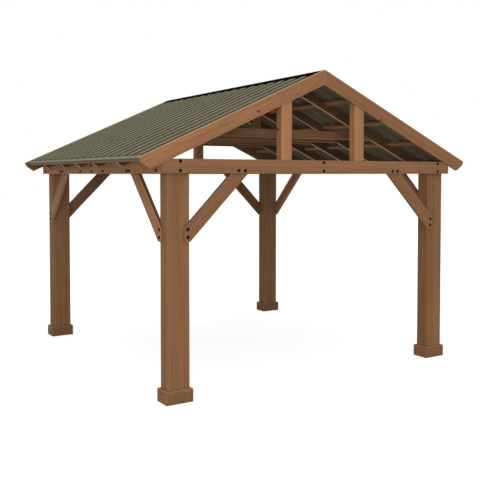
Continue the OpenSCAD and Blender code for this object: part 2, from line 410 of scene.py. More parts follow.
    def _colour(self, tree: Tree, grain: Socket, rings: Socket, streaks: Socket, fibre: Socket,
                knots: Socket) -> Socket:
        """Lays the stain over the wood.

        Args:
            tree: the material's tree.
            grain: the board's own lengths.
            rings: the growth rings.
            streaks: the broad streaks of the stain.
            fibre: the fine fibre.
            knots: the knots.

        Returns:
            The colour.
        """
        board, wear_and_highlight, end = (add(tree, ATTRIBUTE, attribute_name=name, output="Fac")
                            for name in ("board", "arris", "end_grain"))
        low, high = self.streak_soak
        soaked = add(tree, RANGE, {"Value": streaks, "From Min": low, "From Max": high},
                     interpolation_type="SMOOTHSTEP")
        late = add(tree, MATH, [rings, self.ring_share], operation="MULTIPLY")
        colour = linear(self.body)
        for share, stain in ((soaked, self.pale), (late, self.dark)):
            colour = add(tree, MIX, {0: share, 6: colour, 7: linear(stain)}, data_type="RGBA", output=2)
        blotch = self._noise(tree, grain, self.blotch_cell)
        tones = [(board, TONE_RANGE), (blotch, self.blotch_tones), (fibre, self.fibre_tones),
                 (end, self.end_tones)]
        if self.lamina:
            tones.append((self._laminae(tree, grain, board), self.lamina_tones))
        for amount, (low, high) in tones:
            tone = add(tree, RANGE, {"Value": amount, "To Min": low, "To Max": high})
            colour = add(tree, VECTOR, {0: colour, "Scale": tone}, operation="SCALE")
        seen = add(tree, MATH, [knots, self.knot_depth], operation="MULTIPLY")
        # Arrises and faces that look up or down are paled: wear, and a painted highlight.
        low, high = self.wear_and_highlight_share
        pale_by_stain = add(tree, RANGE, {"Value": soaked, "To Min": low, "To Max": high})
        pale_share = add(tree, MATH, [wear_and_highlight, pale_by_stain], operation="MULTIPLY")
        for share, stain in ((seen, self.knot), (pale_share, self.wear_and_highlight)):
            colour = add(tree, MIX, {0: share, 6: colour, 7: linear(stain)}, data_type="RGBA", output=2)
        return colour


@dataclass(frozen=True)
class SheetFinish(Finish):
    """Coil-coated steel in olive bronze: even satin paint, with painted shade beside the ribs and faint
    marks.

    The mesh carries the attribute sheet: metres down the slope, rearwards from the first rib, above the pan.
    """

    slot: str
    paint: str
    rib_shade: str
    backing: str
    lap: str = "#1b1812"
    lap_first: float = 222 * MM
    lap_width: float = 9 * MM
    ribs_between_laps: int = 3
    sheen: float = 0.12
    roughness: Span = (0.62, 0.84)
    rib_height: float = 12 * MM
    rib_step: float = 201 * MM
    shade_reach: Span = (66 * MM, 86 * MM)
    shade_heights: Span = (0.1, 0.9)
    run_width: float = 30 * MM
    run_length: float = 1.6
    speck: float = 50 * MM
    tones: Span = (0.88, 1.12)

    def surface(self, tree: Tree) -> Socket:
        """Builds the shader.

        Args:
            tree: the material's tree.

        Returns:
            The shader's output.
        """
        place = add(tree, ATTRIBUTE, attribute_name="sheet", output="Vector")
        scale = (1 / self.run_length, 1 / self.run_width, 0.0)
        cells = add(tree, VECTOR, [place, scale], operation="MULTIPLY")
        runs = add(tree, NOISE, {"Vector": cells, "Scale": 1.0, "Detail": 3.0})
        specks = add(tree, NOISE, {"Vector": place, "Scale": 1 / self.speck, "Detail": 4.0})
        # Painted shade darkens the sides and feet of the ribs.
        colour = add(tree, MIX, {0: self._rib_shade(tree, place), 6: linear(self.paint), 7: linear(self.rib_shade)},
                     data_type="RGBA", output=2)
        for amount in (runs, specks):
            tone = add(tree, RANGE, {"Value": amount, "To Min": self.tones[0], "To Max": self.tones[1]})
            colour = add(tree, VECTOR, {0: colour, "Scale": tone}, operation="SCALE")
        backing = add(tree, MIX, {0: self._laps(tree, place), 6: linear(self.backing), 7: linear(self.lap)},
                      data_type="RGBA", output=2)
        normal = add(tree, "ShaderNodeNewGeometry", output="Normal")
        facing = add(tree, SPLIT_XYZ, [normal], output="Z")
        under = add(tree, MATH, [facing, 0.0], operation="LESS_THAN")
        colour = add(tree, MIX, {0: under, 6: colour, 7: backing}, data_type="RGBA", output=2)
        rough = add(tree, RANGE, {"Value": runs, "To Min": self.roughness[0], "To Max": self.roughness[1]})
        return add(tree, PRINCIPLED, {
            "Base Color": colour, "Roughness": rough, "Specular IOR Level": self.sheen})

    def _rib_shade(self, tree: Tree, place: Socket) -> Socket:
        """Marks the painted shade on the sides of the ribs and at their feet.

        Args:
            tree: the material's tree.
            place: the attribute sheet.

        Returns:
            1 in the painted shade, falling to 0 on the crests and in the middle of the pans.
        """
        parts = add(tree, SPLIT_XYZ, [place]).node.outputs
        off_rib = add(tree, MATH, [parts["Y"], self.rib_step / 2], operation="PINGPONG")
        heights = [share * self.rib_height for share in self.shade_heights]
        low, near = (add(tree, RANGE, {"Value": value, "From Min": far, "From Max": full},
                         interpolation_type="SMOOTHSTEP")
                     for value, (full, far) in ((parts["Z"], heights), (off_rib, self.shade_reach)))
        return add(tree, MATH, [low, near], operation="MULTIPLY")

    def _laps(self, tree: Tree, place: Socket) -> Socket:
        """Marks the side laps, which show from below as thin dark lines.

        Args:
            tree: the material's tree.
            place: the attribute sheet.

        Returns:
            1 on a lap and 0 beside it.
        """
        along = add(tree, SPLIT_XYZ, [place], output="Y")
        past = add(tree, MATH, [along, self.lap_first], operation="SUBTRACT")
        half = self.ribs_between_laps * self.rib_step / 2
        away = add(tree, MATH, [past, half], operation="PINGPONG")
        return add(tree, MATH, [away, self.lap_width / 2], operation="LESS_THAN")


@dataclass(frozen=True)
class SteelFinish(Finish):
    """Coated steel of a fastener: near-black or bright, slightly uneven from the coating."""

    coat: str
    sheen: float
    roughness: Span
    mottle: float = 6 * MM
    tones: Span = (0.7, 1.3)

    def surface(self, tree: Tree) -> Socket:
        """Builds the shader.

        Args:
            tree: the material's tree.

        Returns:
            The shader's output.
        """
        place = add(tree, "ShaderNodeTexCoord", output="Object")
        mottle = add(tree, NOISE, {"Vector": place, "Scale": 1 / self.mottle, "Detail": 2.0})
        tone, rough = (add(tree, RANGE, {"Value": mottle, "To Min": low, "To Max": high})
                       for low, high in (self.tones, self.roughness))
        colour = add(tree, VECTOR, {0: linear(self.coat)[:3], "Scale": tone}, operation="SCALE")
        return add(tree, PRINCIPLED, {
            "Base Color": colour, "Roughness": rough, "Specular IOR Level": self.sheen})


@dataclass(frozen=True)
class FloorFinish(Finish):
    """Matt pale floor paint, which shows white but keeps the shadow, and sends up less light than that."""

    shown: str
    bounce: str
    glow: float
    glow_share: float

    def surface(self, tree: Tree) -> Socket:
        """Builds the shader.

        Args:
            tree: the material's tree.

        Returns:
            The shader's output.
        """
        seen = add(tree, "ShaderNodeLightPath", output="Is Camera Ray")
        tint = add(tree, MIX, {0: seen, 6: linear(self.bounce), 7: linear(self.shown)},
                   data_type="RGBA", output=2)
        matt = add(tree, "ShaderNodeBsdfDiffuse", {"Color": tint})
        glow = add(tree, "ShaderNodeEmission", {"Color": WHITE, "Strength": self.glow})
        share = add(tree, MATH, [seen, self.glow_share], operation="MULTIPLY")
        return add(tree, "ShaderNodeMixShader", [share, matt, glow])


POST_TIMBER = TimberFinish("stained_laminated_post", "post_timber", "#8f6748", "#7d593c", "#5b3c26",
                           lamina=62 * MM, knot_share=0.9, knot_spacing=(0.18, 0.09, 0.3))
TRIM_TIMBER = TimberFinish("stained_base_trim", "trim_timber", "#845d40", "#755136", "#5d3e27",
                           knot_share=0.25)
FRAME_TIMBER = TimberFinish("stained_frame_board", "frame_timber", "#8f6749", "#805a3f", "#64422c")
BARGE_TIMBER = TimberFinish("stained_barge_board", "barge_timber", "#9e704e", "#8d6344", "#6c462e",
                            knot_radius=25 * MM, knot_share=0.8, knot_spacing=(0.2, 0.09, 0.4))
# The rafters' pale is brighter, a painted highlight on their lower faces.
ROOF_TIMBER = TimberFinish("stained_rafter", "roof_timber", "#7f5a40", "#6d4e37", "#543b29", wear_and_highlight="#d8ae84")
# The roof sheet's second colour is painted shade on the sides and feet of its ribs.
ROOF_SHEET = SheetFinish("coil_coated_roof_sheet", "roof_sheet", "#726e57", "#272216", "#635b4a")
EAVE_METAL = SheetFinish("coil_coated_eave_trim", "eave_metal", "#827d66", "#827d66", "#635b4a")
# The ridge cap is coloured near black all over, a painted shade standing in for the dark line along the
# ridge.
RIDGE_METAL = SheetFinish("coil_coated_ridge_cap", "ridge_metal", "#0e0d0a", "#0e0d0a", "#0e0d0a", sheen=0.0)
BOLT_STEEL = SteelFinish("black_coated_bolt", "#1a1008", 0.06, (0.5, 0.7))
SCREW_STEEL = SteelFinish("dark_roof_screw", "#25221b", 0.1, (0.5, 0.7))
NAIL_STEEL = SteelFinish("zinc_plated_nail", "#ab9072", 0.4, (0.35, 0.55))
FLOOR_PAINT = FloorFinish("matt_floor_paint", "#eeeeec", "#c6c5c2", 1.55, 0.5)


@dataclass
class Timbers:
    """Boards of one finish, copied from their frame nodes with every arris eased.

    A way of 1 or -1 pales the faces that look up or down, a painted highlight; the eased arrises are paled
    too, as wear and a painted highlight. The tones are painted light and shade, set for each piece: its own
    tone, one for its boards that face the sides, and one for its faces that look up.
    """

    nodes: tuple[str, ...]
    finish: TimberFinish
    ease: float = 3 * MM
    # Painted light and shade: the piece's tone, the tone of its side boards and that of its faces that look
    # up.
    tone: float = 1.0
    side_painted_light: float = 1.0
    top_painted_shade: float = 1.0
    highlight_way: float = 0.0
    facing_from: float = 0.3
    arris_wear_and_highlight: float = 0.5
    facing_highlight: float = 0.9
    tone_spread: float = 0.05
    weld: float = 0.02 * MM
    flat: float = math.radians(1)
    sharp: float = math.radians(25)
    pith_off: float = 45 * MM
    pith_depth: Span = (25 * MM, 110 * MM)

    def build(self) -> list[Piece]:
        """Makes one piece for each node."""
        return [self._piece(node) for node in self.nodes]

    def _piece(self, node: str) -> Piece:
        """Makes the boards of one node.

        Args:
            node: the frame node that the piece stands for.

        Returns:
            The finished piece.
        """
        form = bmesh.new()
        form.from_mesh(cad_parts[node].data)
        bmesh.ops.remove_doubles(form, verts=form.verts, dist=self.weld)
        bmesh.ops.dissolve_limit(form, angle_limit=self.flat, verts=form.verts, edges=form.edges)
        shade, end_grain, arris = (form.faces.layers.float.new(name)
                                   for name in ("board", "end_grain", "arris"))
        grain = form.verts.layers.float_vector.new("grain")
        draws = random.Random(node)
        for faces in self._boards(form):
            along, across, deep = self._lie(faces)
            middle = sum((face.calc_center_median() for face in faces), Vector()) / len(faces)
            # Painted light and shade: the piece's tone, with another for boards that face the sides.
            tone = self.tone * (self.side_painted_light if abs(deep.x) > END_GRAIN_FROM else 1.0)
            tone += draws.uniform(-self.tone_spread, self.tone_spread)
            pith = Vector((draws.uniform(0, PATTERN_RUN), draws.uniform(-self.pith_off, self.pith_off),
                           draws.uniform(*self.pith_depth)))
            for face in faces:
                # Faces that look up take the top tone, a painted shade.
                seen = tone * (self.top_painted_shade if face.normal.z > self.facing_from else 1.0)
                face[shade] = (seen - TONE_RANGE[0]) / (TONE_RANGE[1] - TONE_RANGE[0])
                face[end_grain] = 1.0 if abs(face.normal.dot(along)) > END_GRAIN_FROM else 0.0
                # Faces that look up or down, by the way given, are paled as a painted highlight.
                face[arris] = self.facing_highlight if face.normal.z * self.highlight_way > self.facing_from else 0.0
                for corner in face.verts:
                    place = corner.co - middle
                    corner[grain] = Vector((place.dot(along), place.dot(across), place.dot(deep))) + pith
        edges = [edge for edge in form.edges if edge.calc_face_angle(0) > self.sharp]
        eased = bmesh.ops.bevel(form, geom=edges, offset=self.ease, segments=2, profile=0.5, affect="EDGES",
                                clamp_overlap=False)
        for face in eased["faces"]:
            # Eased arrises are paled: wear, and a painted highlight.
            face[arris] = self.arris_wear_and_highlight
        for face in form.faces:
            face.smooth = True
        mesh = bpy.data.meshes.new(node + "_timber")
        form.to_mesh(mesh)
        form.free()
        mesh.materials.append(self.finish.material())
        piece = new_object(node + "_timber", mesh)
        piece.modifiers.new("even shading", "WEIGHTED_NORMAL")
        return hand_over(settle(piece), self.finish.slot, node)

    def _boards(self, form: bmesh.types.BMesh) -> list[list[bmesh.types.BMFace]]:
        """Finds the separate boards of a node.

        Args:
            form: the merged mesh of the node.

        Returns:
            The faces of each board.
        """
        left = set(form.faces)
        boards = []
        for first in form.faces:
            if first not in left:
                continue
            left.discard(first)
            board = [first]
            for face in board:
                near = {other for edge in face.edges for other in edge.link_faces} & left
                left -= near
                board.extend(sorted(near, key=lambda other: other.index))
            boards.append(board)
        return boards

    def _lie(self, faces: list[bmesh.types.BMFace]) -> tuple[Vector, Vector, Vector]:
        """Finds how a board lies.

        Args:
            faces: the faces of the board.

        Returns:
            Unit vectors along it, across its wide face and through its thickness.
        """
        edges = {edge for face in faces for edge in face.edges}
        longest = max(edges, key=lambda edge: (round(edge.calc_length(), 5), -edge.index))
        along = (longest.verts[1].co - longest.verts[0].co).normalized()
        sides = [face for face in faces if abs(face.normal.dot(along)) < END_GRAIN_FROM]
        deep = max(sides, key=lambda face: (round(face.calc_area(), 6), -face.index)).normal.copy()
        return along, deep.cross(along), deep


def new_tree(name: str, sizes: Iterable[str]) -> tuple[Tree, bpy.types.bpy_prop_collection]:
    """Starts geometry nodes that take a mesh, a finish and named sizes.

    Args:
        name: the name of the tree.
        sizes: the names of the sizes, in metres or radians.

    Returns:
        The tree, and what it is given by name.
    """
    tree = bpy.data.node_groups.new(name, "GeometryNodeTree")
    tree.interface.new_socket("Geometry", in_out="OUTPUT", socket_type="NodeSocketGeometry")
    kinds = {"Geometry": "Geometry", "Finish": "Material", **dict.fromkeys(sizes, "Float")}
    for title, kind in kinds.items():
        tree.interface.new_socket(title, in_out="INPUT", socket_type="NodeSocket" + kind)
    return tree, add(tree, "NodeGroupInput").node.outputs


def end_tree(tree: Tree, given: bpy.types.bpy_prop_collection, made: Socket) -> None:
    """Ends geometry nodes in a plain mesh that wears the finish.

    Args:
        tree: the tree.
        given: what it is given by name.
        made: the geometry.
    """
    plain = add(tree, "GeometryNodeRealizeInstances", [made])
    dressed = add(tree, "GeometryNodeSetMaterial", {"Geometry": plain, "Material": given["Finish"]})
    add(tree, "NodeGroupOutput", [dressed])


def run_tree(piece: Piece, tree: Tree, values: dict[str, object]) -> None:
    """Puts a tree on a piece and sets its named inputs.

    Args:
        piece: the object that the tree works on.
        tree: the geometry nodes.
        values: the inputs by name.
    """
    live = piece.modifiers.new(tree.name, "NODES")
    live.node_group = tree
    for socket in tree.interface.items_tree:
        if socket.in_out == "INPUT" and socket.name in values:
            live[socket.identifier] = values[socket.name]


@dataclass
class Heads:
    """The heads of like fasteners, each a washer or rim with a prism and a low crown on it.

    Each of these is a cone: its radius at the foot, its radius at the top and its depth.
    """

    name: str
    finish: SteelFinish
    washer: tuple[float, float, float]
    prism: tuple[float, float, float]
    crown: tuple[float, float, float]
    sides: int = 6

    def build(self, seats: list[Seat]) -> Piece:
        """Sets a head on each seat.

        Args:
            seats: the points on the timber or sheet and the directions out of it.

        Returns:
            The finished piece.
        """
        mesh = bpy.data.meshes.new(self.name)
        mesh.from_pydata([point for point, _ in seats], [], [])
        out = mesh.attributes.new("out", "FLOAT_VECTOR", "POINT")
        out.data.foreach_set("vector", [value for _, way in seats for value in way])
        cones = {"Washer": self.washer, "Prism": self.prism, "Crown": self.crown}
        sizes = {f"{cone} {size}": value for cone, values in cones.items()
                 for size, value in zip(("foot", "top", "depth"), values)}
        piece = new_object(self.name, mesh)
        run_tree(piece, self._tree(sizes), {"Finish": self.finish.material(), **sizes})
        return hand_over(settle(piece))

    def _tree(self, sizes: Iterable[str]) -> Tree:
        """Builds geometry nodes that set a turned head on each vertex, standing along the attribute out.

        Args:
            sizes: the names of the head's sizes.

        Returns:
            The tree.
        """
        tree, given = new_tree(self.name, sizes)
        joined = add(tree, "GeometryNodeJoinGeometry")
        rise = 0.0
        for cone, sides in (("Washer", WASHER_SIDES), ("Prism", self.sides), ("Crown", self.sides)):
            depth = given[f"{cone} depth"]
            solid = add(tree, "GeometryNodeMeshCone", {
                "Vertices": sides, "Radius Bottom": given[f"{cone} foot"], "Radius Top": given[f"{cone} top"],
                "Depth": depth})
            place = add(tree, JOIN_XYZ, {"Z": rise})
            part = add(tree, "GeometryNodeTransform", {"Geometry": solid, "Translation": place})
            tree.links.new(part, joined.node.inputs[0])
            rise = add(tree, MATH, [rise, depth], operation="ADD")
        out = add(tree, "GeometryNodeInputNamedAttribute", {"Name": "out"}, data_type="FLOAT_VECTOR")
        spin = add(tree, "FunctionNodeRandomValue", {"Max": (0.0, 0.0, math.tau), "Seed": HEAD_SEED},
                   data_type="FLOAT_VECTOR")
        facing = add(tree, "FunctionNodeAlignRotationToVector", {"Vector": out}, axis="Z")
        turned = add(tree, "FunctionNodeRotateRotation", [facing, spin], rotation_space="LOCAL")
        spread = add(tree, "GeometryNodeInstanceOnPoints", {
            "Points": given["Geometry"], "Instance": joined, "Rotation": turned})
        end_tree(tree, given, spread)
        return tree


BOLT_HEADS = Heads("bolt_heads", BOLT_STEEL, (17 * MM, 15.5 * MM, 3 * MM), (11.5 * MM, 11.5 * MM, 6 * MM),
                   (11.5 * MM, 9 * MM, 2.5 * MM))
NAIL_HEADS = Heads("trim_nails", NAIL_STEEL, (4 * MM, 3.6 * MM, 0.8 * MM), (3 * MM, 3 * MM, 0.3 * MM),
                   (3 * MM, 2 * MM, 0.3 * MM), 10)
ROOF_SCREWS = Heads("roof_screws", SCREW_STEEL, (8.5 * MM, 7.7 * MM, 1.6 * MM), (5.5 * MM, 5.5 * MM, 4 * MM),
                    (5.5 * MM, 4 * MM, 1.2 * MM))


@dataclass
class Posts:
    """The four laminated posts and their nailed base trims."""

    # Painted light and shade: each corner's post and trim is lighter or darker as the light falls, the rear
    # right darkest.
    tones: ClassVar[dict[tuple[End, Side], float]] = {
        (End.FRONT, Side.LEFT): 1.05, (End.FRONT, Side.RIGHT): 0.96, (End.REAR, Side.LEFT): 0.95,
        (End.REAR, Side.RIGHT): 0.8}
    ease: float = 1.6 * MM
    arris: float = 0.1
    trim_ease: float = 2 * MM
    # Painted light on the trims' side boards.
    trim_side_painted_light: float = 1.25
    nail_inset: float = 60 * MM
    nail_rows: Span = (35 * MM, 103 * MM)

    def build(self) -> list[Seat]:
        """Makes the posts and their trims.

        Returns:
            The seats of the trim nails, four on the front and four on the rear of each trim.
        """
        seats = []
        for corner, tone in self.tones.items():
            post, trim = node_name("post", *corner), node_name("base_trim", *corner)
            Timbers((post,), POST_TIMBER, self.ease, tone, arris_wear_and_highlight=self.arris).build()
            Timbers((trim,), TRIM_TIMBER, self.trim_ease, tone, self.trim_side_painted_light).build()
            low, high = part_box(trim)
            places = (low.x + self.nail_inset, high.x - self.nail_inset)
            seats += [(Vector((place, outer(trim, end).y, row)), end.out)
                      for end in End for place in places for row in self.nail_rows]
        return seats


@dataclass
class Beams:
    """The beams and their ledgers, bolted to the posts and through the tops of the knee braces."""

    ease: float = 7 * MM
    arris: float = 0.1
    # Painted light on the eave beams, which stand in the shade of the eaves.
    eave_painted_light: float = 1.56
    low_row: float = 28 * MM
    high_row: float = 117 * MM
    eave_high_row: float = 100 * MM
    eave_post_bolt: float = 1.723
    eave_single: float = 0.36
    gable_brace_bolts: Span = (103 * MM, 180 * MM)
    eave_brace_bolts: Span = (69 * MM, 139 * MM)

    def build(self) -> list[Seat]:
        """Makes the beams.

        Returns:
            The seats of their bolts.
        """
        Timbers(both("gable_beam", End), FRAME_TIMBER, self.ease, arris_wear_and_highlight=self.arris).build()
        Timbers(both("eave_beam", Side), FRAME_TIMBER, self.ease, self.eave_painted_light,
                arris_wear_and_highlight=self.arris).build()
        Timbers((*both("gable_ledger", End), *both("eave_ledger", Side)), FRAME_TIMBER).build()
        return [*self._gable_bolts(), *self._eave_bolts()]

    def _gable_bolts(self) -> list[Seat]:
        """Places the bolts of both gable beams: pairs at the posts and the middle, two through each brace.

        Returns:
            The seats.
        """
        seats = []
        for end in End:
            beam = node_name("gable_beam", end)
            base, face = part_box(beam)[0].z, outer(beam, end).y
            post = sum(corner.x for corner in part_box(node_name("post", end, Side.RIGHT))) / 2
            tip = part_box(node_name("gable_brace", end, Side.RIGHT))[0].x
            places = [(x, z) for x in (-post, 0.0, post) for z in (self.low_row, self.high_row)]
            places += [(side.value * (tip + step), self.low_row)
                       for side in Side for step in self.gable_brace_bolts]
            seats += [(Vector((x, face, base + z)), end.out) for x, z in places]
        return seats

    def _eave_bolts(self) -> list[Seat]:
        """Places the bolts of both eave beams: a pair at the middle, and a row towards each end.

        Returns:
            The seats.
        """
        seats = []
        for side in Side:
            beam = node_name("eave_beam", side)
            base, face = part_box(beam)[0].z, outer(beam, side).x
            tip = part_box(node_name("eave_brace", End.REAR, side))[0].y
            steps = [self.eave_post_bolt, self.eave_single, *(tip + step for step in self.eave_brace_bolts)]
            places = [(0.0, self.low_row), (0.0, self.eave_high_row)]
            places += [(end.value * step, self.low_row) for end in End for step in steps]
            seats += [(Vector((face, y, base + z)), side.out) for y, z in places]
        return seats


@dataclass
class KneeBraces:
    """The eight knee braces, bolted to the faces of the posts at their feet."""

    # Painted light and shade: the eave braces lighter, the rear gable braces darker.
    tones: ClassVar[dict[tuple[str, End], float]] = {
        ("gable_brace", End.FRONT): 0.97, ("gable_brace", End.REAR): 0.72, ("eave_brace", End.FRONT): 1.3,
        ("eave_brace", End.REAR): 1.3}
    # Painted shade on the braces' faces that look up, under the roof.
    top_painted_shade: float = 0.45
    foot_inset: float = 35 * MM
    foot_rows: Span = (43 * MM, 118 * MM)

    def build(self) -> list[Seat]:
        """Makes the braces.

        Returns:
            The seats of their foot bolts.
        """
        for (kind, end), tone in self.tones.items():
            braces = tuple(node_name(kind, end, side) for side in Side)
            Timbers(braces, FRAME_TIMBER, tone=tone, top_painted_shade=self.top_painted_shade).build()
        seats = []
        for end, side in product(End, Side):
            for kind, face, back in (("gable_brace", end, side), ("eave_brace", side, end)):
                brace = node_name(kind, end, side)
                corner = Vector((outer(brace, side).x, outer(brace, end).y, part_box(brace)[0].z))
                foot = corner - back.out * self.foot_inset
                seats += [(foot + Vector((0, 0, row)), face.out) for row in self.foot_rows]
        return seats


@dataclass
class RoofFrame:
    """The barge boards and studs of the gables, and the timber under the roof."""

    # Painted light and shade: the front left barge lit, the front right a little darker, the rear ones
    # darkest.
    barge_light_and_shade: ClassVar[dict[tuple[End, Side], float]] = {
        (End.FRONT, Side.LEFT): 1.0, (End.FRONT, Side.RIGHT): 0.85, (End.REAR, Side.LEFT): 0.66,
        (End.REAR, Side.RIGHT): 0.7}
    front_arris: float = 0.5
    # Painted light on the studs, blocking and ties, and painted shade on the rafters.
    stud_painted_light: float = 1.22
    rafter_painted_shade: float = 0.55
    block_painted_light: float = 1.52
    tie_painted_light: float = 1.18

    def build(self) -> None:
        """Makes the timbers of the roof. Only the front barge boards are paled along their top faces and
        arrises, a painted highlight, with wear on the arrises.
        """
        for (end, side), tone in self.barge_light_and_shade.items():
            way, arris = (1, self.front_arris) if end is End.FRONT else (0, 0.0)
            Timbers((node_name("barge", end, side),), BARGE_TIMBER, tone=tone, highlight_way=way,
                    arris_wear_and_highlight=arris).build()
        Timbers(both("gable_studs", End), BARGE_TIMBER, tone=self.stud_painted_light).build()
        Timbers(both("rafters", Side), ROOF_TIMBER, tone=self.rafter_painted_shade, highlight_way=-1).build()
        Timbers(both("blocking", Side), ROOF_TIMBER, tone=self.block_painted_light).build()
        ties = (*both("fascia", Side), "collar_ties", "king_posts", "ridge_board")
        Timbers(ties, ROOF_TIMBER, tone=self.tie_painted_light).build()


@dataclass(frozen=True)
class Slope:
    """The lines of the roof, the same on both slopes: lengths run down a slope from the ridge."""

    pitch: float
    top: float
    start: float
    end: float
    front: float
    rear: float

    def point(self, side: Side, down: float, along: float, lift: float) -> Vector:
        """Places a point on a slope.

        Args:
            side: the slope.
            down: distance from the ridge, down the slope.
            along: distance along the ridge.
            lift: height square to the slope, from the tops of the rafters.

        Returns:
            The point.
        """
        reach = down * math.cos(self.pitch) + lift * math.sin(self.pitch)
        height = self.top - down * math.sin(self.pitch) + lift * math.cos(self.pitch)
        return Vector((side.value * reach, along, height))

    def out(self, side: Side) -> Vector:
        """Gives the direction square out of a slope."""
        return Vector((side.value * math.sin(self.pitch), 0, math.cos(self.pitch)))


def read_slope(pitch: float, crest: float) -> Slope:
    """Reads the lines of the roof off the frame.

    Args:
        pitch: the angle of the roof.
        crest: height of the tops of the ribs above the rafters.

    Returns:
        The lines.
    """
    low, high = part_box("ridge_board")
    half = (high.x - low.x) / 2
    front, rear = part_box("right_roof_sheet")
    end = (rear.x - crest * math.sin(pitch)) / math.cos(pitch)
    return Slope(pitch, high.z + math.tan(pitch) * half, half / math.cos(pitch), end, front.y, rear.y)


